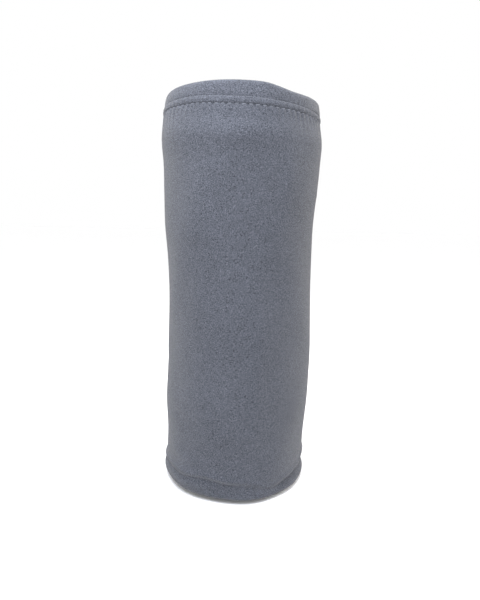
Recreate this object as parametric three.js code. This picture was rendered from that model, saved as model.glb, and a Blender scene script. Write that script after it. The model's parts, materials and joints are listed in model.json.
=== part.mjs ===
// A hemmed fleece throw, folded in thirds across its width and rolled up along its length.
// The roll stands on end. +Z is up, -Y is the front, and the free end of the strip lies at the back.
//
// The cloth's path across the strip is a letter fold:
//   outer third:  hem at the top, on the outside of the roll, down to the bottom fold
//   inner third:  from the bottom fold, on the side nearest the core, up to the top fold
//   middle third: from the top fold down between the other two, ending in the tucked hem
// The strip's section is drawn in [n, z], where n is the distance outwards from the strip's middle.
import * as THREE from "three";

// Driving dimensions, millimetres.
const THROW_WIDTH = 1270; // across the strip, hem to hem
const THROW_LENGTH = 1520; // along the roll, hem to hem
const ROLL_HEIGHT = 434; // bottom fold to top fold
const FLEECE = 4.0; // thickness of the lofty cloth
const PLY_GAP = 0.6; // air between two thirds of the strip
const TURN_GAP = 1.4; // air between two turns of the roll
const CORE_RADIUS = 8; // hollow left in the middle of the roll
const HEM = 8; // turned edge to stitch line
const OUTER_HEM_DROP = 13.5; // top fold down to the outer hem's edge
const GROOVE = 1.4; // depth of a stitch line, and half its width
const EDGE_ROUND = 1; // rounding of a hem's edge
const THREAD_RADIUS = 0.3;
const THREAD_DEPTH = 0.4; // cloth face down to the thread's middle
const FACETS = 16; // straight steps in one turn
const FREE_END_HINGES = [4, 2]; // steps from the free end's edge back to each line where it bends as it peels
const FREE_END_ANGLE = THREE.MathUtils.degToRad(120); // where the free end's edge lies, from +X
const HINGE_GAP = 0.4; // between two lengths of the strip that a hinge joins
const LABEL = { height: 34, length: 24, bottom: 70, thick: 0.5, clear: 0.4 };

const FLEECE_COLOUR = 0x70747f;
const THREAD_COLOUR = 0x646873;
const LABEL_COLOUR = 0xe4e4e0;

// What follows from them.
const HALF = FLEECE / 2;
const PLY_PITCH = FLEECE + PLY_GAP;
const STRIP = 3 * FLEECE + 2 * PLY_GAP;
const TURN_PITCH = STRIP + TURN_GAP;
const STEP = (2 * Math.PI) / FACETS;

// Fold corners as angles round the fold, in degrees. The span across 90 is the flat that it stands on.
const FOLD_OUTSIDE = [0, 35, 62, 118, 145, 180];
const FOLD_INSIDE = [0, 60, 120, 180];
const TIGHT_FOLD_INSIDE = [0, 180];
const FOLD_RISE = Math.sin(THREE.MathUtils.degToRad(FOLD_OUTSIDE[2]));

const bottomFoldZ = FOLD_RISE * (PLY_PITCH + HALF);
const topFoldZ = ROLL_HEIGHT - FOLD_RISE * (PLY_PITCH / 2 + HALF);
const outerHemZ = ROLL_HEIGHT - OUTER_HEM_DROP;
const foldLength = Math.PI * (PLY_PITCH + PLY_PITCH / 2);
const outerThird = outerHemZ - bottomFoldZ;
const innerThird = topFoldZ - bottomFoldZ;
const middleThird = THROW_WIDTH - outerThird - innerThird - foldLength;
const tuckedHemZ = topFoldZ - middleThird;

// Rolling: the strip's middle follows r = startRadius + TURN_PITCH * angle / turn, over the throw's length.
const startRadius = CORE_RADIUS + STRIP / 2;
const endRadius = Math.sqrt(startRadius ** 2 + (TURN_PITCH * THROW_LENGTH) / Math.PI);
const rolledAngle = ((endRadius - startRadius) * 2 * Math.PI) / TURN_PITCH;
const hingeAngles = FREE_END_HINGES.map((steps) => rolledAngle - steps * STEP);

const radiusAt = (angle) => startRadius + (TURN_PITCH * angle) / (2 * Math.PI);

// A point of the strip: how far round the roll, how far out from the strip's middle, how high.
function onStrip(angle, n, z) {
  const r = radiusAt(angle) + n;
  const bearing = FREE_END_ANGLE - rolledAngle + angle;
  return new THREE.Vector3(r * Math.cos(bearing), r * Math.sin(bearing), z);
}

// Corners of a fold. An upward fold runs over the top, a downward one round the bottom.
function fold(n, z, radius, upward, degrees) {
  return degrees.map((degree) => {
    const a = THREE.MathUtils.degToRad(upward ? 180 - degree : -degree);
    return [n + radius * Math.cos(a), z + radius * Math.sin(a)];
  });
}

// The groove that a stitch line pulls into the cloth, going down the ply at n.
function stitchGroove(n, off, z) {
  const deep = off * (1 - GROOVE / HALF);
  return [
    [n + off, z + GROOVE],
    [n + deep, z],
    [n + off, z - GROOVE],
  ];
}

// One face of the folded cloth, from the outer hem to the tucked hem. off is its distance from the cloth's
// middle: positive on the face that shows on the roll, negative on the back of the cloth.
function clothFace(off, grooved = true) {
  const shows = off > 0;
  const groove = (n, z) => (grooved ? stitchGroove(n, off, z) : []);
  return [
    [PLY_PITCH + off / 2, outerHemZ],
    [PLY_PITCH + off, outerHemZ - EDGE_ROUND],
    ...groove(PLY_PITCH, outerHemZ - HEM),
    ...fold(0, bottomFoldZ, PLY_PITCH + off, false, shows ? FOLD_OUTSIDE : FOLD_INSIDE),
    ...fold(
      -PLY_PITCH / 2,
      topFoldZ,
      PLY_PITCH / 2 + off,
      true,
      shows ? FOLD_OUTSIDE : TIGHT_FOLD_INSIDE,
    ),
    ...groove(0, tuckedHemZ + HEM),
    [off, tuckedHemZ + EDGE_ROUND],
    [off / 2, tuckedHemZ],
  ];
}

const clothSection = (half) => [...clothFace(-half), ...clothFace(half).reverse()];

// Angles of the strip's corners from one angle to another, in step with the free end so that turns lie parallel.
function corners(from, to) {
  const angles = [from];
  const first = Math.ceil((rolledAngle - to) / STEP + 1e-6);
  const last = Math.floor((rolledAngle - from) / STEP - 1e-6);
  for (let i = last; i >= first; i--) angles.push(rolledAngle - i * STEP);
  return [...angles, to];
}

// A closed solid skinned over rings of points. section is the outline that every ring follows: it runs
// anticlockwise when seen from beyond the first ring, looking back along the solid.
function loft(rings, section) {
  const count = section.length;
  const contour = section.map(([x, y]) => new THREE.Vector2(x, y));
  const cap = THREE.ShapeUtils.triangulateShape(contour, []);
  const index = [];
  const last = (rings.length - 1) * count;
  for (const [a, b, c] of cap) {
    index.push(a, b, c);
    index.push(last + a, last + c, last + b);
  }
  for (let ring = 0; ring < rings.length - 1; ring++) {
    for (let i = 0; i < count; i++) {
      const j = (i + 1) % count;
      const a = ring * count + i;
      const b = ring * count + j;
      index.push(a, a + count, b, b, a + count, b + count);
    }
  }
  const geometry = new THREE.BufferGeometry().setFromPoints(rings.flat());
  geometry.setIndex(index);
  geometry.computeVertexNormals();
  return geometry;
}

// The folded cloth between two angles. grooveAt is the angle of a short hem's stitch line, if it has one there.
function clothBetween(from, to, grooveAt) {
  const stops = corners(from, to).map((angle) => ({ angle, half: HALF }));
  if (grooveAt !== undefined) {
    const wide = GROOVE / radiusAt(grooveAt);
    const near = (stop) => Math.abs(stop.angle - grooveAt) < 1.5 * wide;
    stops.splice(0, stops.length, ...stops.filter((stop) => !near(stop)));
    stops.push({ angle: grooveAt - wide, half: HALF });
    stops.push({ angle: grooveAt, half: HALF - GROOVE });
    stops.push({ angle: grooveAt + wide, half: HALF });
    stops.sort((a, b) => a.angle - b.angle);
  }
  const rings = stops.map(({ angle, half }) => clothSection(half).map(([n, z]) => onStrip(angle, n, z)));
  return loft(rings, clothSection(HALF));
}

// A three-sided thread along the strip, at one place of its section.
function threadAlong(from, to, n, z) {
  const section = [90, 210, 330].map((degree) => {
    const a = THREE.MathUtils.degToRad(degree);
    return [n + THREAD_RADIUS * Math.cos(a), z + THREAD_RADIUS * Math.sin(a)];
  });
  const rings = corners(from, to).map((angle) => section.map(([x, y]) => onStrip(angle, x, y)));
  return loft(rings, section);
}

// A three-sided thread across the strip, down one face of the cloth from hem to hem.
function threadAcross(angle, side) {
  const path = clothFace(side * (HALF - THREAD_DEPTH), false).slice(1, -1);
  const start = [path[0][0], path[0][1] - HEM - GROOVE];
  const end = [path.at(-1)[0], path.at(-1)[1] + HEM + GROOVE];
  const line = [start, ...path.slice(1, -1), end];
  const about = radiusAt(angle);
  const rings = line.map(([n, z], i) => {
    const [n0, z0] = line[Math.max(i - 1, 0)];
    const [n1, z1] = line[Math.min(i + 1, line.length - 1)];
    const along = Math.hypot(n1 - n0, z1 - z0);
    const across = [-(z1 - z0) / along, (n1 - n0) / along];
    return [90, 210, 330].map((degree) => {
      const a = THREE.MathUtils.degToRad(degree);
      const out = THREAD_RADIUS * Math.cos(a);
      const round = (THREAD_RADIUS * Math.sin(a)) / about;
      return onStrip(angle + round, n + out * across[0], z + out * across[1]);
    });
  });
  const section = [90, 210, 330].map((degree) => {
    const a = THREE.MathUtils.degToRad(degree);
    return [Math.cos(a), Math.sin(a)];
  });
  return loft(rings, section);
}

// The blank care label: it comes out of the free end's hem and lies on the turn beneath.
function careLabel() {
  const inner = -STRIP / 2 - TURN_GAP + LABEL.clear;
  const chord = 2 * endRadius * Math.sin(STEP / 2);
  const section = [
    [inner, LABEL.bottom],
    [inner + LABEL.thick, LABEL.bottom],
    [inner + LABEL.thick, LABEL.bottom + LABEL.height],
    [inner, LABEL.bottom + LABEL.height],
  ];
  const rings = [LABEL.clear, LABEL.clear + LABEL.length].map((distance) =>
    section.map(([n, z]) =>
      onStrip(rolledAngle, n, z).lerp(onStrip(rolledAngle + STEP, n, z), distance / chord),
    ),
  );
  return loft(rings, section);
}

const fleece = new THREE.MeshStandardMaterial({ color: FLEECE_COLOUR, roughness: 0.95, metalness: 0 });
const thread = new THREE.MeshStandardMaterial({ color: THREAD_COLOUR, roughness: 0.6, metalness: 0 });
const satin = new THREE.MeshStandardMaterial({ color: LABEL_COLOUR, roughness: 0.5, metalness: 0 });

const roll = new THREE.Group();

function add(name, geometry, material) {
  const mesh = new THREE.Mesh(geometry, material);
  mesh.name = name;
  roll.add(mesh);
}

// The strip's three lengths: rolled up, the root of the free end, and its tip.
const bounds = [0, ...hingeAngles, rolledAngle];
const lengths = ["roll", "free_end_root", "free_end_tip"].map((name, i) => ({
  name,
  from: bounds[i] + (i > 0 ? HINGE_GAP / 2 / radiusAt(bounds[i]) : 0),
  to: bounds[i + 1] - (i < 2 ? HINGE_GAP / 2 / radiusAt(bounds[i + 1]) : 0),
}));
const [rolledUp, , tip] = lengths;

// A short hem's stitch line, and where the long hems' threads stop short of it.
const coreHemAt = HEM / startRadius;
const freeHemAt = rolledAngle - HEM / endRadius;
const threadStop = HEM + GROOVE + 2 * THREAD_RADIUS;
const threadFrom = (length) => (length === rolledUp ? threadStop / startRadius : length.from);
const threadTo = (length) => (length === tip ? rolledAngle - threadStop / endRadius : length.to);

for (const length of lengths) {
  const groove = { [rolledUp.name]: coreHemAt, [tip.name]: freeHemAt }[length.name];
  add(`fleece_${length.name}`, clothBetween(length.from, length.to, groove), fleece);
}
const seams = [
  { name: "outer_hem", n: PLY_PITCH, z: outerHemZ - HEM },
  { name: "tucked_hem", n: 0, z: tuckedHemZ + HEM },
];
const threads = [
  { name: "needle_thread", side: 1 },
  { name: "bobbin_thread", side: -1 },
];
for (const { name, side } of threads) {
  for (const seam of seams) {
    const n = seam.n + side * (HALF - THREAD_DEPTH);
    for (const length of lengths) {
      const geometry = threadAlong(threadFrom(length), threadTo(length), n, seam.z);
      add(`${seam.name}_${name}_${length.name}`, geometry, thread);
    }
  }
  add(`core_end_hem_${name}`, threadAcross(coreHemAt, side), thread);
  add(`free_end_hem_${name}`, threadAcross(freeHemAt, side), thread);
}
add("care_label", careLabel(), satin);

// The origin is at the middle of the roll's box, on the surface that it stands on.
const middle = new THREE.Box3().setFromObject(roll).getCenter(new THREE.Vector3());
roll.position.set(-middle.x, -middle.y, 0);

export default roll;
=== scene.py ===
import json
import math

import bpy
import numpy as np
from mathutils import Matrix, Vector


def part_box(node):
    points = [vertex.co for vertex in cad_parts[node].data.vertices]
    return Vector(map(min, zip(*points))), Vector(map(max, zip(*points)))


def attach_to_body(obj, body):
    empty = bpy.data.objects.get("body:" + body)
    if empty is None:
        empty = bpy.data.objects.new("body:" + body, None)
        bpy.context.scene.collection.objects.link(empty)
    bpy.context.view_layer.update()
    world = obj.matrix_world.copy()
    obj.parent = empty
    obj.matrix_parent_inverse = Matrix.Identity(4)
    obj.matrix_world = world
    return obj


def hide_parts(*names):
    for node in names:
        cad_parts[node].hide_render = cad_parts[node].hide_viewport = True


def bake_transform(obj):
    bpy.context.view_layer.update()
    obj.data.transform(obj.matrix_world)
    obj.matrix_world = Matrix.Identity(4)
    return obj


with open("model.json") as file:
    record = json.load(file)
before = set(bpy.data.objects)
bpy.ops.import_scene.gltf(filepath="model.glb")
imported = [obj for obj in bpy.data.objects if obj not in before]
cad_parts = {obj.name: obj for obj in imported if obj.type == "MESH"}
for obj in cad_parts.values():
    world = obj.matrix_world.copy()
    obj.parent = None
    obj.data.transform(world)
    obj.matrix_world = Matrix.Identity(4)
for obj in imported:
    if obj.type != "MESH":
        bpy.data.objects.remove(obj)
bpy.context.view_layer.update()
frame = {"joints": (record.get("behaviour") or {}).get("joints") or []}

MM = 0.001
TURN = 2 * math.pi

# The throw, as cut and hemmed.
THROW_WIDTH = 1270 * MM
THROW_LENGTH = 1520 * MM
FLEECE = 4.4 * MM  # with the nap on both faces
HEM = 7.4 * MM  # turned edge to stitch line
HEM_SWELL = 1.2 * MM  # how far the doubled cloth of a hem stands proud
EDGE_ROUND = 1.4 * MM
GROOVE_DEPTH = 0.55 * MM  # what a stitch line pulls in, on each face
GROOVE_WIDTH = 0.7 * MM
STITCH = 5.9 * MM
THREAD_RADIUS = 0.32 * MM
PUCKER = 1.9 * MM  # height of the small gathers below a stitch line
PUCKER_REACH = 9 * MM
LABEL_HEIGHT = 34 * MM
LABEL_REACH = 24 * MM  # from the seam to the label's fold

# The folded strip and the roll.
TURN_PITCH = 14.6 * MM
PLY_PITCH = TURN_PITCH / 3
START_RADIUS = 14.6 * MM  # core to the strip's middle
END_RADIUS = math.sqrt(START_RADIUS**2 + TURN_PITCH * THROW_LENGTH / math.pi)
FREE_END_BEARING = math.radians(120)
ROLL_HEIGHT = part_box("fleece_roll")[1].z
OUTER_HEM_DROP = 13.0 * MM
FOLD_BULGE = 4.6 * MM  # how far the top fold bulges out just above the hem
BULGE_LEFT_ON_TOP = 0.7  # how much of the bulge is left at the top of the fold
NIBBLE = 1.0 * MM  # how unevenly the fold meets the hem, stitch by stitch
TOP_REACH = 130 * MM  # how far down the roll its top's rise and fall is felt
REST = 1.6 * MM  # how high above the floor the bottom fold starts to flatten

HALF = FLEECE / 2
BOTTOM_FOLD_Z = PLY_PITCH + HALF
TOP_FOLD_Z = ROLL_HEIGHT - PLY_PITCH / 2 - HALF
OUTER_HEM_Z = ROLL_HEIGHT - OUTER_HEM_DROP

# Where each stretch of the cloth ends, across the strip.
OUTER_END = OUTER_HEM_Z - BOTTOM_FOLD_Z
BOTTOM_END = OUTER_END + math.pi * PLY_PITCH
INNER_END = BOTTOM_END + TOP_FOLD_Z - BOTTOM_FOLD_Z
TOP_END = INNER_END + math.pi * PLY_PITCH / 2
TUCKED_HEM_Z = TOP_FOLD_Z - (THROW_WIDTH - TOP_END)


def strip_radius(along):
    """Roll's middle to the strip's middle."""
    return np.sqrt(END_RADIUS**2 - TURN_PITCH * along / math.pi)


def angle_back(along):
    """Angle from the free end's edge back to a place on the strip."""
    return (END_RADIUS - strip_radius(along)) * TURN / TURN_PITCH


def along_at(angle):
    """Place on the strip at an angle back from the free end's edge."""
    return END_RADIUS * angle - TURN_PITCH * angle**2 / (2 * TURN)


# The free end bends at two hinges, an eighth of a turn and a quarter of a turn back from its edge.
hinges = {joint["name"]: joint for joint in frame["joints"]}
TIP_END = float(along_at(TURN / 8))
ROOT_END = float(along_at(TURN / 4))
OUTER_TURN_END = float(along_at(TURN / 4 + TURN))

# The cloth's pieces meet a short reach behind each hinge.
BEHIND_BEND = 28 * MM

# The spiral's middle, from the hinge at the free end's root.
root_bearing = FREE_END_BEARING - TURN / 4
root_pivot = Vector(hinges["free_end_peel"]["pos_m"])
CAD_OUTSIDE = 6.6 * MM  # strip's middle to the CAD strip's outside
root_radius = float(strip_radius(ROOT_END)) + CAD_OUTSIDE
SPIRAL_X = root_pivot.x - root_radius * math.cos(root_bearing)
SPIRAL_Y = root_pivot.y - root_radius * math.sin(root_bearing)


# ---- Small maths ----


def smooth_step(low, high, x):
    """0 up to low, 1 from high, smooth between them."""
    t = np.clip((x - low) / (high - low), 0, 1)
    return t * t * (3 - 2 * t)


def mound(middle, width, x):
    """A soft bump of height 1."""
    return np.exp(-(((x - middle) / width) ** 2))


def smooth_through(points):
    """A smooth curve through (place, value) points, level beyond the first and the last."""
    at, value = np.array(points, float).T
    slope = np.gradient(value, at)
    slope[0] = slope[-1] = 0

    def curve(x):
        x = np.clip(x, at[0], at[-1])
        i = np.clip(np.searchsorted(at, x) - 1, 0, len(at) - 2)
        span = at[i + 1] - at[i]
        t = (x - at[i]) / span
        ease = t * t * (3 - 2 * t)
        leave = t * (1 - t) ** 2 * span * slope[i]
        arrive = t * t * (t - 1) * span * slope[i + 1]
        return value[i] * (1 - ease) + value[i + 1] * ease + leave + arrive

    return curve


def round_the_roll(points):
    """A smooth curve through (bearing in degrees, millimetres) points, closed round the roll."""
    closed = [(bearing + turn, value) for turn in (-360, 0, 360) for bearing, value in points]
    curve = smooth_through(sorted(closed))
    return lambda bearing: MM * curve((np.degrees(bearing) + 180) % 360 - 180)


# ---- The shape that the roll has settled into ----

# Height in millimetres against the roll's radius, and against how far it leans to the right.
GIRTH = smooth_through([
    (0, 80.2), (7, 85.0), (15, 84.0), (24, 83.5), (50, 82.9), (100, 84.6), (140, 83.5), (200, 82.5),
    (265, 82.6), (300, 84.3), (345, 85.8), (365, 86.6), (391, 88.2), (410, 85.8), (421, 84.4), (434, 84.0),
])
LEAN = smooth_through([
    (0, 3.4), (7, -0.4), (15, -3.5), (24, -1.8), (50, 0.0), (100, 1.4), (150, 2.9), (200, 2.8),
    (265, 1.2), (300, 0.1), (335, 1.4), (360, 2.2), (380, 1.7), (405, 0.3), (434, 0.5),
])
NOMINAL_GIRTH = 83.85

# How far the outer hem's edge, the outer turn's top fold and the tucked hem's edge are above their
# nominal heights.
HEM_RISE = round_the_roll([
    (-175, 0.5), (-142, 1.5), (-122, 1.8), (-102, -0.2), (-70, -2.0), (-43, -3.2), (-19, -4.6), (20, -3),
    (90, 0),
])
FOLD_RISE = round_the_roll([
    (-170, 1.0), (-120, 1.9), (-100, 1.7), (-84, 1.1), (-70, 0.3), (-60, -1.8), (-50, -3.8), (-42, -4.0),
    (-28, -3.2), (-10, -2.0), (40, 0), (100, 1),
])
TUCK_RISE = round_the_roll([
    (-170, 4), (-150, 9), (-130, 8.6), (-109, 11), (-94, 8.1), (-75, 5), (-56, -4), (-40, 0.5), (-23, 3),
    (-12, 7.5), (30, 3), (90, 0), (135, 2),
])

# What is added to the top fold's bulge, how far the base is drawn in, and how strongly the tucked
# hem shows through the outer third, where 1 is its usual strength.
MORE_BULGE = round_the_roll([(-170, 0.3), (-120, 0), (-75, 0), (-45, 0.6), (-15, 0.9), (20, 0.8), (90, 0)])
BASE_TUCK = round_the_roll([
    (-170, 0.5), (-140, 3.6), (-120, 4.0), (-105, 3.5), (-88, 2.1), (-70, 1), (-35, 1), (-15, 0.8),
    (30, 0), (120, 0),
])
PRESS = round_the_roll([
    (-170, 0.9), (-130, 1.0), (-109, 1.1), (-94, 1.2), (-75, 0.6), (-60, 0.6), (-45, 0.9), (-15, 1.1),
    (60, 0.8), (130, 0.8),
])

# Soft wrinkles of the outer third. Bearings and spans are in degrees and the rest in millimetres.
# Level ones: bearing, half span, height, climb over the half span, how proud, half width.
LEVEL_WRINKLES = [
    (-92, 46, 401, 1, -0.35, 5), (-96, 34, 387, 0, 0.6, 9), (-107, 13, 357, 0, 0.35, 4),
    (-64, 17, 325, 1.5, 0.45, 3.4), (-124, 10, 305, 0, 0.45, 5), (-118, 16, 291, -1, 0.5, 5),
    (-88, 18, 92, -2, -0.35, 4), (-142, 12, 94, -4, -0.4, 4), (-140, 11, 50, -4, 0.5, 6),
    (20, 30, 340, 4, 0.5, 6), (45, 25, 120, -5, -0.4, 5), (150, 24, 300, 3, 0.5, 6),
    (80, 30, 210, 2, 0.4, 5), (170, 20, 150, -4, -0.4, 5),
]
# Upright ones: bearing, half width, height, half span, how proud.
UPRIGHT_WRINKLES = [
    (-75, 8, 150, 75, 0.8), (-55, 7, 350, 26, 0.7), (-118, 9, 210, 60, 0.5), (60, 10, 250, 70, 0.6),
]
WRINKLE_STRENGTH = 1.8

# Slow unevenness of the roll's surface: lobes round it, radians of climb in a metre, phase, size.
SLOW_WAVES = [
    (2, 9.0, 0.4, 0.55), (3, -14.0, 2.1, 0.45), (4, 21.0, 4.4, 0.35), (5, -27.0, 1.2, 0.30),
    (7, 33.0, 5.1, 0.22), (6, -46.0, 3.3, 0.20), (9, 58.0, 0.9, 0.15), (11, -71.0, 2.7, 0.12),
]


def degrees_past(middle, bearing):
    """Degrees from a middle bearing round to another, from -180 to 180."""
    return (np.degrees(bearing) - middle + 180) % 360 - 180


def wrinkles(z, bearing):
    """How far the outer third's soft wrinkles stand out."""
    total = 0
    for middle, span, height, climb, proud, width in LEVEL_WRINKLES:
        beside = degrees_past(middle, bearing)
        level = (height + climb * beside / span) * MM
        total = total + proud * mound(0, span, beside) * mound(level, width * MM, z)
    for middle, width, height, span, proud in UPRIGHT_WRINKLES:
        beside = degrees_past(middle, bearing)
        total = total + proud * mound(0, width, beside) * mound(height * MM, span * MM, z)
    return total * WRINKLE_STRENGTH * MM


def undulation(bearing, z):
    """How far the slow waves of the roll's surface stand out."""
    total = 0
    for lobes, climb, phase, size in SLOW_WAVES:
        total = total + size * np.sin(lobes * bearing + climb * z + phase)
    return total * MM


def settle(radius, bearing, z):
    """A point of the ideal roll, moved to where it is on the settled one. The core stays even."""
    height = z / MM
    girth = GIRTH(height) / NOMINAL_GIRTH
    away_from_core = smooth_step(20 * MM, 70 * MM, radius)
    radius = radius * girth + undulation(bearing, z) * away_from_core
    x = SPIRAL_X + radius * np.cos(bearing) + LEAN(height) * MM
    y = SPIRAL_Y + radius * np.sin(bearing)
    return np.stack([x, y, z], -1)


# ---- The cloth's path ----


def fold_path(across):
    """Middle of the cloth at a place across the strip, as out and z, and where its showing face looks."""
    bottom = np.clip((across - OUTER_END) / PLY_PITCH, 0, math.pi)
    top = np.clip((across - INNER_END) / (PLY_PITCH / 2), 0, math.pi)
    down = np.minimum(across, OUTER_END)
    up = np.clip(across - BOTTOM_END, 0, INNER_END - BOTTOM_END)
    down_again = np.maximum(across - TOP_END, 0)
    out = PLY_PITCH * np.cos(bottom) + PLY_PITCH / 2 * (1 - np.cos(top))
    z = OUTER_HEM_Z - down - PLY_PITCH * np.sin(bottom) + up + PLY_PITCH / 2 * np.sin(top) - down_again
    turned = bottom + top
    return out, z, np.cos(turned), -np.sin(turned)


def edge_distances(along, across):
    """Distance to the nearer long hem's edge and to the nearer short hem's edge."""
    return np.minimum(across, THROW_WIDTH - across), np.minimum(along, THROW_LENGTH - along)


def at_hole(beside):
    """1 at each needle hole of a stitch line, 0 halfway between two."""
    return 0.5 + 0.5 * np.cos(TURN * beside / STITCH)


def hem_swell(distance, beside):
    """How far a hem stands proud, by distance from its edge. Each stitch pinches it."""
    inside = np.clip(distance / HEM, 0, 1)
    return HEM_SWELL * (1 - 0.45 * at_hole(beside)) * np.sin(math.pi * inside) ** 0.8


def stitch_groove(distance, beside):
    """How deep a stitch line pulls in: deepest at each needle hole."""
    return GROOVE_DEPTH * (0.7 + 0.3 * at_hole(beside)) * mound(HEM, GROOVE_WIDTH, distance)


def pucker(distance, beside):
    """Small gathers that run in from a stitch line, with a narrow valley at each needle hole."""
    fade = np.exp(-np.maximum(distance - HEM, 0) / PUCKER_REACH)
    reach = fade * smooth_step(HEM, HEM + 1.2 * MM, distance)
    uneven = 0.6 + 0.4 * np.sin(beside / (9.1 * MM)) * np.sin(beside / (5.3 * MM) + 1)
    valley = at_hole(beside) ** 1.5
    return PUCKER * uneven * reach * (0.4 - valley)


def edge_round(distance):
    """1 inside the cloth, falling to nearly 0 at its edge."""
    inward = np.clip(1 - distance / EDGE_ROUND, 0, 1)
    return np.sqrt(1 - 0.97 * inward**2)


def faces(along, across):
    """Heights of the cloth's showing face and of its back, away from the cloth's middle."""
    long_edge, short_edge = edge_distances(along, across)
    groove = stitch_groove(long_edge, along) + stitch_groove(short_edge, across)
    gathers = pucker(long_edge, along) + pucker(short_edge, across)
    rounding = edge_round(long_edge) * edge_round(short_edge)
    proud = hem_swell(long_edge, along) + hem_swell(short_edge, across)
    face = (HALF + proud - groove) * rounding + gathers
    groove_behind = 0.7 * groove
    back = -(HALF - groove_behind) * rounding + gathers
    return face, back


def pressed_ledge(z, bearing):
    """What the tucked hem underneath does to the outer third: a ridge over it, a crease below its
    edge, and a dent at the front."""
    edge = TUCKED_HEM_Z + TUCK_RISE(bearing)
    ridge = 1.5 * MM * mound(edge + 2.2 * MM, 3.4 * MM, z)
    crease = -1.5 * MM * mound(edge - 3.2 * MM, 3.8 * MM, z)
    front = mound(math.radians(-94), math.radians(11), bearing)
    dent = -1.3 * MM * front * mound(18 * MM, 6 * MM, z)
    return (ridge + crease) * PRESS(bearing) / MM + dent


def place(along, across, off):
    """Where a point of the cloth is, in the object's frame."""
    turned = angle_back(along)
    bearing = FREE_END_BEARING - turned
    out, z, face_out, face_z = fold_path(across)
    out = out + off * face_out
    z = z + off * face_z

    # The outer third shows the hem tucked behind it, and its wrinkles, only where nothing covers it.
    outer_third = 1 - smooth_step(OUTER_END - 2 * MM, OUTER_END + 6 * MM, across)
    under_thirds = 1 - outer_third
    uncovered = 1 - smooth_step(TURN - 0.25, TURN, turned)
    out = out + outer_third * uncovered * (pressed_ledge(z, bearing) + wrinkles(z, bearing))

    # The hem and the fold rise and fall round the roll, more on the outer turn than within it.
    depth = np.where(turned < TURN * 1.1, 1.0, 0.35)
    own_rise = 1.3 * MM * np.sin(2.3 * turned) * np.clip(turned / TURN - 1, 0, 1)
    lift = smooth_step(ROLL_HEIGHT - TOP_REACH, ROLL_HEIGHT, z)
    rise = outer_third * HEM_RISE(bearing) + under_thirds * FOLD_RISE(bearing) * depth
    z = z + lift * (rise + own_rise)

    # The fold bulges out over the hem's edge.
    hem_edge = OUTER_HEM_Z + HEM_RISE(bearing)
    nibble = NIBBLE * np.cos(TURN * along / STITCH) * (0.6 + 0.4 * np.sin(along / (7.7 * MM)))
    above_hem = smooth_step(hem_edge - 4 * MM, hem_edge - 0.7 * MM, z + nibble)
    onto_top = smooth_step(hem_edge + 3 * MM, ROLL_HEIGHT, z)
    left_there = 1 - (1 - BULGE_LEFT_ON_TOP) * onto_top
    bulge = (FOLD_BULGE + MORE_BULGE(bearing)) * above_hem * left_there
    out = out + bulge * under_thirds * smooth_step(-PLY_PITCH, 0, out)

    # The tucked hem is uneven too, and the base is drawn in.
    low_down = 1 - smooth_step(30 * MM, 120 * MM, z)
    z = z + low_down * np.where(across > TOP_END, TUCK_RISE(bearing), 0)
    out = out - BASE_TUCK(bearing) * (1 - smooth_step(2 * MM, 26 * MM, z))

    # The bottom fold flattens where it stands on the floor.
    z = np.where(z < REST, REST * np.exp((z - REST) / REST) * 0.999, z)
    slack = 0.45 * MM * np.sin(1.7 * turned + 1) * smooth_step(TURN, 1.6 * TURN, turned)
    return settle(strip_radius(along) + out + slack, bearing, z)


# ---- Meshes ----


def make_object(name, points, faces_of, sharp=None):
    """A smooth-shaded mesh object. sharp marks the points whose edges to each other are creased."""
    mesh = bpy.data.meshes.new(name)
    mesh.from_pydata(points.tolist(), [], faces_of)
    mesh.polygons.foreach_set("use_smooth", np.ones(len(mesh.polygons), bool))
    if sharp is not None:
        ends = np.zeros(len(mesh.edges) * 2, np.int32)
        mesh.edges.foreach_get("vertices", ends)
        creased = sharp[ends[0::2]] & sharp[ends[1::2]]
        mesh.edges.foreach_set("use_edge_sharp", creased)
    mesh.update()
    obj = bpy.data.objects.new(name, mesh)
    bpy.context.scene.collection.objects.link(obj)
    return obj


def closed_skin(front, rear):
    """Faces that join two matching grids of points, the two sides of a cloth, round their rims."""

    def quads(a, b, c, d):
        return np.stack([a, b, c, d], -1).reshape(-1, 4)

    return np.concatenate([
        quads(front[:-1, :-1], front[1:, :-1], front[1:, 1:], front[:-1, 1:]),
        quads(rear[:-1, :-1], rear[:-1, 1:], rear[1:, 1:], rear[1:, :-1]),
        quads(front[:-1, 0], rear[:-1, 0], rear[1:, 0], front[1:, 0]),
        quads(front[:-1, -1], front[1:, -1], rear[1:, -1], rear[:-1, -1]),
        quads(front[0, :-1], front[0, 1:], rear[0, 1:], rear[0, :-1]),
        quads(front[-1, :-1], rear[-1, :-1], rear[-1, 1:], front[-1, 1:]),
    ]).tolist()


def spaced(start, end, step):
    """Places from start to end, at multiples of step between them."""
    inside = np.arange(math.ceil(start / step + 0.3), math.floor(end / step - 0.3) + 1) * step
    return np.concatenate([[start], inside, [end]])


def near_hem(edge, inward):
    """Places close together from a hem's edge to beyond its stitch line. inward is 1 or -1."""
    distances = [
        0, 0.12, 0.4, 0.85, 1.4, 2.1, 3, 4, 5, 5.8, 6.4, 6.9, 7.4, 7.9, 8.4, 9, 9.8, 11, 12.5, 14.5, 17, 20,
    ]
    return edge + inward * np.array(distances) * MM


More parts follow.
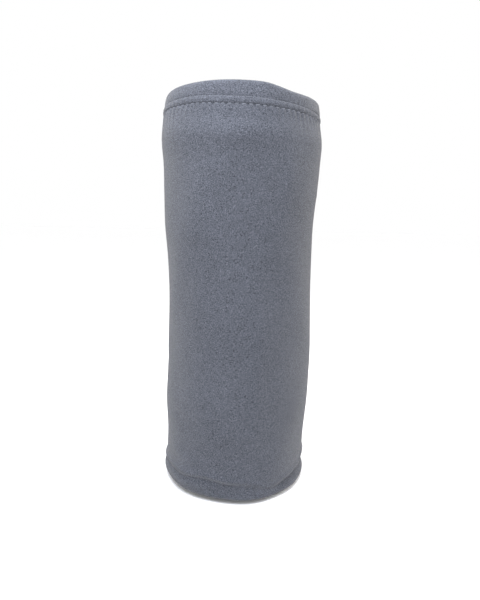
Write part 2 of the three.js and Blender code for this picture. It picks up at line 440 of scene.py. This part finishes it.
def places_across(start, end, closely):
    """Where the cloth has points across the strip: close together at hems, folds and the ledge.
    closely is for the turn that shows."""
    stretches = [
        near_hem(0, 1),
        spaced(24 * MM, OUTER_END - 44 * MM, (4.5 if closely else 12) * MM),
        spaced(OUTER_END - 40 * MM, OUTER_END - 26 * MM, (2 if closely else 4) * MM),
        spaced(OUTER_END - 26 * MM, OUTER_END, (0.9 if closely else 1.8) * MM),
        np.linspace(OUTER_END, BOTTOM_END, 17),
        spaced(BOTTOM_END + 6 * MM, INNER_END - 30 * MM, 24 * MM),
        spaced(INNER_END - 24 * MM, INNER_END, 4 * MM),
        np.linspace(INNER_END, TOP_END, 13),
        spaced(TOP_END + 1 * MM, TOP_END + 24 * MM, (0.7 if closely else 2.2) * MM),
        spaced(TOP_END + 30 * MM, THROW_WIDTH - 40 * MM, 22 * MM),
        near_hem(THROW_WIDTH, -1),
    ]
    places = np.unique(np.round(np.concatenate(stretches), 6))
    inside = places[(places > start + 0.1 * MM) & (places < end - 0.1 * MM)]
    return np.concatenate([[start], inside, [end]])


def places_along(start, end, step):
    """Where the cloth has points along the strip: close together at a short hem."""
    stretches = [spaced(start, end, step)]
    if start == 0:
        stretches = [near_hem(0, 1), spaced(22 * MM, end, step)]
    if end == THROW_LENGTH:
        stretches = [spaced(start, THROW_LENGTH - 22 * MM, step), near_hem(THROW_LENGTH, -1)]
    return np.unique(np.round(np.concatenate(stretches), 6))


def cloth(name, along_from, along_to, step, across_from=0.0, across_to=THROW_WIDTH):
    """A stretch of the folded and rolled cloth, as a closed mesh with both faces."""
    along = places_along(along_from, along_to, step)
    shows = along_from < OUTER_TURN_END
    across = places_across(across_from, across_to, shows)
    u, v = np.meshgrid(along, across, indexing="ij")
    face, back = faces(u, v)
    points = np.concatenate([place(u, v, face).reshape(-1, 3), place(u, v, back).reshape(-1, 3)])
    count = u.size
    front = np.arange(count).reshape(u.shape)
    rear = front + count

    skin = closed_skin(front, rear)
    cut = np.zeros(len(points), bool)
    for rim, is_cut in (
        (np.s_[:, 0], across_from > 0),
        (np.s_[:, -1], across_to < THROW_WIDTH),
        (np.s_[0, :], along_from > 0),
        (np.s_[-1, :], along_to < THROW_LENGTH),
    ):
        if is_cut:
            cut[front[rim]] = True
            cut[rear[rim]] = True
    return make_object(name, points, skin, cut)


def stitch_row(name, holes, at, showing, lengthwise):
    """A row of lockstitches as one mesh: each is a short thread that rises from one needle hole and
    dives into the next. at is the stitch line's place, lengthwise says that it runs along the strip,
    and showing that it is on the face that shows."""
    sides = rings = 6
    t = np.linspace(0, 1, rings)[None, :, None]
    turn = np.arange(sides)[None, None, :] * TURN / sides
    run = holes[:, None, None] + STITCH * (0.14 + 0.72 * t) + 0 * turn
    line = np.full_like(run, at)
    thick = THREAD_RADIUS * (0.12 + 0.88 * np.sqrt(1 - (2 * t - 1) ** 4))
    beside = line + thick * np.sin(turn)
    height = 0.9 * THREAD_RADIUS - 0.9 * MM * np.abs(2 * t - 1) ** 3 + thick * np.cos(turn)
    face, back = faces(run, line) if lengthwise else faces(line, run)
    off = face + height if showing else back - height
    points = place(run, beside, off) if lengthwise else place(beside, run, off)
    points = points.reshape(-1, 3)
    skin = []
    for first in range(0, len(points), rings * sides):
        for ring in range(first, first + (rings - 1) * sides, sides):
            for side in range(sides):
                a = ring + side
                b = ring + (side + 1) % sides
                skin.append((a, a + sides, b + sides, b))
        skin.append(tuple(range(first, first + sides)))
        skin.append(tuple(range(first + rings * sides - 1, first + (rings - 1) * sides - 1, -1)))
    if lengthwise != showing:
        skin = [corners[::-1] for corners in skin]
    return make_object(name, points, skin)


def needle_holes(start, end):
    """Needle holes from start to end, less the one that the last stitch ends in."""
    return np.arange(math.ceil(start / STITCH), math.floor(end / STITCH + 1e-6)) * STITCH


def care_label():
    """The blank care label: a satin ribbon folded in two, sewn in at the free end and lying on the
    turn beneath. u runs along the strip and v up it."""
    bottom, top = 70 * MM, 70 * MM + LABEL_HEIGHT
    thick, clear = 0.35 * MM, 0.75 * MM
    columns, rows = 26, 18
    u = np.linspace(0.5 * MM, -LABEL_REACH, columns)[:, None]
    v = np.linspace(bottom, top, rows)[None, :]
    bearing = FREE_END_BEARING - angle_back(u)
    beneath = PLY_PITCH + HALF - TURN_PITCH
    free_corner = smooth_step(-0.4 * LABEL_REACH, -LABEL_REACH, u)
    free_corner = free_corner * smooth_step(bottom + 0.6 * LABEL_HEIGHT, top, v)
    curl = 1.6 * MM * free_corner
    ripple = 0.25 * MM * np.sin(u / (3.1 * MM)) * np.cos(v / (6.3 * MM))
    up_to_seam = 2.2 * MM * smooth_step(-7 * MM, 0, u)
    radius = strip_radius(u) + beneath + clear + curl + ripple + up_to_seam
    u, v, bearing, radius = np.broadcast_arrays(u, v, bearing, radius)
    edge = np.minimum.reduce([u - u.min(), u.max() - u, v - v.min(), v.max() - v])
    half = thick / 2 * np.sqrt(np.clip(edge / thick, 0.15, 1))
    sheets = [settle(radius + side * half, bearing, v).reshape(-1, 3) for side in (1, -1)]
    front = np.arange(u.size).reshape(u.shape)
    return make_object("satin_care_label", np.concatenate(sheets), closed_skin(front, front + u.size))


# ---- The pieces ----

LENGTHS = {
    "roll": (ROOT_END + BEHIND_BEND, THROW_LENGTH),
    "free_end_root": (TIP_END + BEHIND_BEND, ROOT_END + BEHIND_BEND),
    "free_end_tip": (0, TIP_END + BEHIND_BEND),
}
FINE = STITCH / 4
COARSE = STITCH * 0.75
LOWEST = (OUTER_END + BOTTOM_END) / 2  # lowest line of the bottom fold


def bends_off(piece):
    """A piece of the free end: its place is baked into its mesh, and it is tied to no hinge."""
    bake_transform(piece)


def attach(piece, length):
    """A piece of the roll moves with the rolled throw; a piece of the free end only has its place baked
    into its mesh.
    """
    if length == "roll":
        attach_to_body(piece, "rolled_throw")
    else:
        bends_off(piece)


fleece_pieces = []


def add_cloth(name, length, along_from, along_to, step, across_from=0.0, across_to=THROW_WIDTH):
    """A stretch of the throw, attached as its length of the strip is. Its cut width is worked out but not
    kept.
    """
    piece = cloth(name, along_from, along_to, step, across_from, across_to)
    attach(piece, length)
    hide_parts(f"fleece_{length}")
    across_to - across_from
    fleece_pieces.append(piece)


roll_start, roll_end = LENGTHS["roll"]
add_cloth("outer_third_of_outer_turn", "roll", roll_start, OUTER_TURN_END, FINE, 0, LOWEST)
add_cloth("folded_thirds_of_outer_turn", "roll", roll_start, OUTER_TURN_END, 2 * FINE, LOWEST)
add_cloth("inner_turns", "roll", OUTER_TURN_END, roll_end, COARSE)
add_cloth("free_end_root", "free_end_root", *LENGTHS["free_end_root"], FINE)
add_cloth("free_end_tip", "free_end_tip", *LENGTHS["free_end_tip"], FINE)

thread_pieces = []


def add_stitches(node, name, length, holes, at, showing, lengthwise):
    """A stitch line's thread on one face, over one length of the strip."""
    piece = stitch_row(name, holes, at, showing, lengthwise)
    attach(piece, length)
    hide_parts(node)
    thread_pieces.append(piece)


for thread, showing in (("needle", True), ("bobbin", False)):
    for seam, at in (("outer_hem", HEM), ("tucked_hem", THROW_WIDTH - HEM)):
        for length, (start, end) in LENGTHS.items():
            holes = needle_holes(max(start, HEM), min(end, THROW_LENGTH - HEM))
            node = f"{seam}_{thread}_thread_{length}"
            name = f"{seam}_{thread}_stitches_{length}"
            add_stitches(node, name, length, holes, at, showing, True)
    short_hems = (("core_end_hem", "roll", THROW_LENGTH - HEM), ("free_end_hem", "free_end_tip", HEM))
    for seam, length, at in short_hems:
        holes = needle_holes(HEM, THROW_WIDTH - HEM)
        node = f"{seam}_{thread}_thread"
        add_stitches(node, f"{seam}_{thread}_stitches", length, holes, at, showing, False)

label = care_label()
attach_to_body(label, "free_end_tip")
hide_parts("care_label")


# ---- Finishes ----


class Value:
    """A number that varies over a surface, so that shader maths is written as arithmetic."""

    def __init__(self, finish, socket):
        self.finish = finish
        self.socket = socket

    def maths(self, operation, other):
        return self.finish.node("ShaderNodeMath", {"operation": operation}, {0: self, 1: other})

    def __add__(self, other):
        return self.maths("ADD", other)

    def __mul__(self, other):
        return self.maths("MULTIPLY", other)

    __radd__ = __add__
    __rmul__ = __mul__


class Finish:
    """A material with one Principled shader. Its constants are named as the shader's sockets are,
    with _ for each space."""

    def __init__(self, name, **constants):
        self.material = bpy.data.materials.new(name)
        self.material.use_nodes = True
        self.tree = self.material.node_tree
        self.shader = self.tree.nodes["Principled BSDF"]
        for socket, value in constants.items():
            self.shader.inputs[socket.replace("_", " ")].default_value = value

    def node(self, kind, settings=None, inputs=None, output=0):
        """A node of any kind: its settings first, then the values or links of its sockets."""
        made = self.tree.nodes.new(kind)
        for name, value in (settings or {}).items():
            setattr(made, name, value)
        for name, value in (inputs or {}).items():
            if isinstance(value, Value):
                self.tree.links.new(value.socket, made.inputs[name])
            else:
                made.inputs[name].default_value = value
        return Value(self, made.outputs[output])

    def set(self, socket, value):
        """What varies over the surface, into one of the shader's sockets."""
        self.tree.links.new(value.socket, self.shader.inputs[socket])

    def noise(self, place, scale, detail, roughness):
        inputs = {"Vector": place, "Scale": scale, "Detail": detail, "Roughness": roughness}
        return self.node("ShaderNodeTexNoise", {}, inputs)

    def spread(self, value, low, high):
        """value from low to high, stretched to 0 to 1."""
        return self.node("ShaderNodeMapRange", {}, {0: value, 1: low, 2: high, 3: 0.0, 4: 1.0})

    def blend(self, amount, first, second):
        """A colour from first to second."""
        return self.node("ShaderNodeMix", {"data_type": "RGBA"}, {0: amount, 6: first, 7: second}, output=2)


def colour(*paint):
    """A colour in the 0 to 255 of a paint chart, as linear light."""
    red, green, blue = (((level / 255 + 0.055) / 1.055) ** 2.4 for level in paint)
    return red, green, blue, 1.0


def fleece_finish():
    """Brushed, pebbled polar fleece: a short curled nap with soft light and dark brushing."""
    finish = Finish(
        "blue_grey_fleece",
        Sheen_Weight=0.22,
        Sheen_Roughness=0.4,
        Sheen_Tint=colour(232, 228, 220),
        Specular_IOR_Level=0.15,
    )
    place = finish.node("ShaderNodeTexCoord", output="Object")
    nap = finish.noise(place, 1300.0, 1.0, 0.6)
    fuzz = finish.noise(place, 1800.0, 1.0, 0.6)
    brushing = finish.noise(place, 15.0, 2.0, 0.5)
    pile = nap * 0.62 + fuzz * 0.62
    tone = finish.spread(pile + brushing * 0.05, 0.46, 0.84)
    finish.set("Base Color", finish.blend(tone, colour(21, 24, 30), colour(103, 106, 115)))
    finish.set("Roughness", 0.84 + fuzz * 0.2)
    bump = finish.node("ShaderNodeBump", {}, {"Strength": 0.9, "Distance": 0.9 * MM, "Height": pile})
    finish.set("Normal", bump)
    return finish.material


def thread_finish():
    """Spun polyester sewing thread, a little paler and smoother than the fleece."""
    finish = Finish("hem_thread", Roughness=0.6, Sheen_Weight=0.15)
    place = finish.node("ShaderNodeTexCoord", output="Object")
    twist = finish.noise(place, 1500.0, 2.0, 0.6)
    finish.set("Base Color", finish.blend(twist, colour(102, 106, 115), colour(124, 128, 138)))
    bump = finish.node("ShaderNodeBump", {}, {"Strength": 0.4, "Distance": 0.2 * MM, "Height": twist})
    finish.set("Normal", bump)
    return finish.material


def satin_finish():
    """Blank woven satin ribbon."""
    finish = Finish("label_satin", Roughness=0.42, Sheen_Weight=0.2)
    place = finish.node("ShaderNodeTexCoord", output="Object")
    weave = finish.node(
        "ShaderNodeTexWave",
        {"wave_type": "BANDS", "bands_direction": "Z"},
        {"Vector": place, "Scale": 900.0, "Distortion": 0.6},
    )
    finish.set("Base Color", finish.blend(weave, colour(222, 221, 214), colour(240, 239, 233)))
    bump = finish.node("ShaderNodeBump", {}, {"Strength": 0.3, "Distance": 0.1 * MM, "Height": weave})
    finish.set("Normal", bump)
    return finish.material


def dress(pieces, material):
    """Gives pieces their one material."""
    for piece in pieces:
        piece.data.materials.clear()
        piece.data.materials.append(material)


dress(fleece_pieces, fleece_finish())
dress(thread_pieces, thread_finish())
dress([label], satin_finish())


# ---- Floor, light and camera ----


def flat_square(name, half):
    """A level square on the floor's height."""
    mesh = bpy.data.meshes.new(name)
    corners = [(-half, -half, 0), (half, -half, 0), (half, half, 0), (-half, half, 0)]
    mesh.from_pydata(corners, [], [(0, 1, 2, 3)])
    obj = bpy.data.objects.new(name, mesh)
    bpy.context.scene.collection.objects.link(obj)
    return obj


floor = flat_square("studio_floor", 12)
floor.location.z = -0.5 * MM
dress([floor], Finish("pale_floor", Roughness=0.8, Base_Color=(1, 1, 1, 1)).material)

scene = bpy.context.scene
scene.view_settings.view_transform = "Standard"
world = bpy.data.worlds.new("studio")
world.use_nodes = True
studio_air = world.node_tree.nodes["Background"]
studio_air.inputs["Color"].default_value = (1, 1, 1, 1)
studio_air.inputs["Strength"].default_value = 1.0
scene.world = world


def soft_light(name, at, size, watts, tint):
    """A square area light that looks at the middle of the roll."""
    light = bpy.data.lights.new(name, "AREA")
    light.shape = "SQUARE"
    light.size = size
    light.energy = watts
    light.color = tint
    obj = bpy.data.objects.new(name, light)
    obj.location = at
    toward = Vector((0, 0, ROLL_HEIGHT / 2)) - Vector(at)
    obj.rotation_euler = toward.to_track_quat("-Z", "Y").to_euler()
    scene.collection.objects.link(obj)


soft_light("key_light", (-0.1, -0.33, 0.82), 0.5, 10.0, (0.9, 0.93, 1.0))
soft_light("left_light", (-0.9, 0.3, 0.55), 0.5, 0.3, (0.98, 1.0, 1.0))
soft_light("right_light", (0.9, 0.3, 0.3), 0.5, 4.4, (1.0, 0.93, 0.88))
soft_light("back_light", (0.15, 0.6, 0.85), 0.5, 2.5, (1.0, 1.0, 1.0))

# The camera stands a little above the roll's middle, looks slightly down on it and is slightly tilted.
CAMERA_AT = (0, -0.5313, 0.308)
LOOKS_DOWN = math.radians(10.2)
TILT = math.radians(1.1)
FOCAL_SHARE = 451.9 / 600  # focal length over the frame's height
SENSOR_HEIGHT = 36
camera_data = bpy.data.cameras.new("camera")
camera_data.sensor_fit = "VERTICAL"
camera_data.sensor_height = SENSOR_HEIGHT
camera_data.lens = FOCAL_SHARE * SENSOR_HEIGHT
camera_data.shift_x = 0.0037
camera = bpy.data.objects.new("camera", camera_data)
right = Vector((1, 0, 0))
up = Vector((0, math.sin(LOOKS_DOWN), math.cos(LOOKS_DOWN)))
behind = Vector((0, -math.cos(LOOKS_DOWN), math.sin(LOOKS_DOWN)))
camera_right = right * math.cos(TILT) + up * math.sin(TILT)
camera_up = up * math.cos(TILT) - right * math.sin(TILT)
axes = Matrix((camera_right, camera_up, behind)).transposed().to_4x4()
camera.matrix_world = Matrix.Translation(CAMERA_AT) @ axes
scene.collection.objects.link(camera)
scene.camera = camera
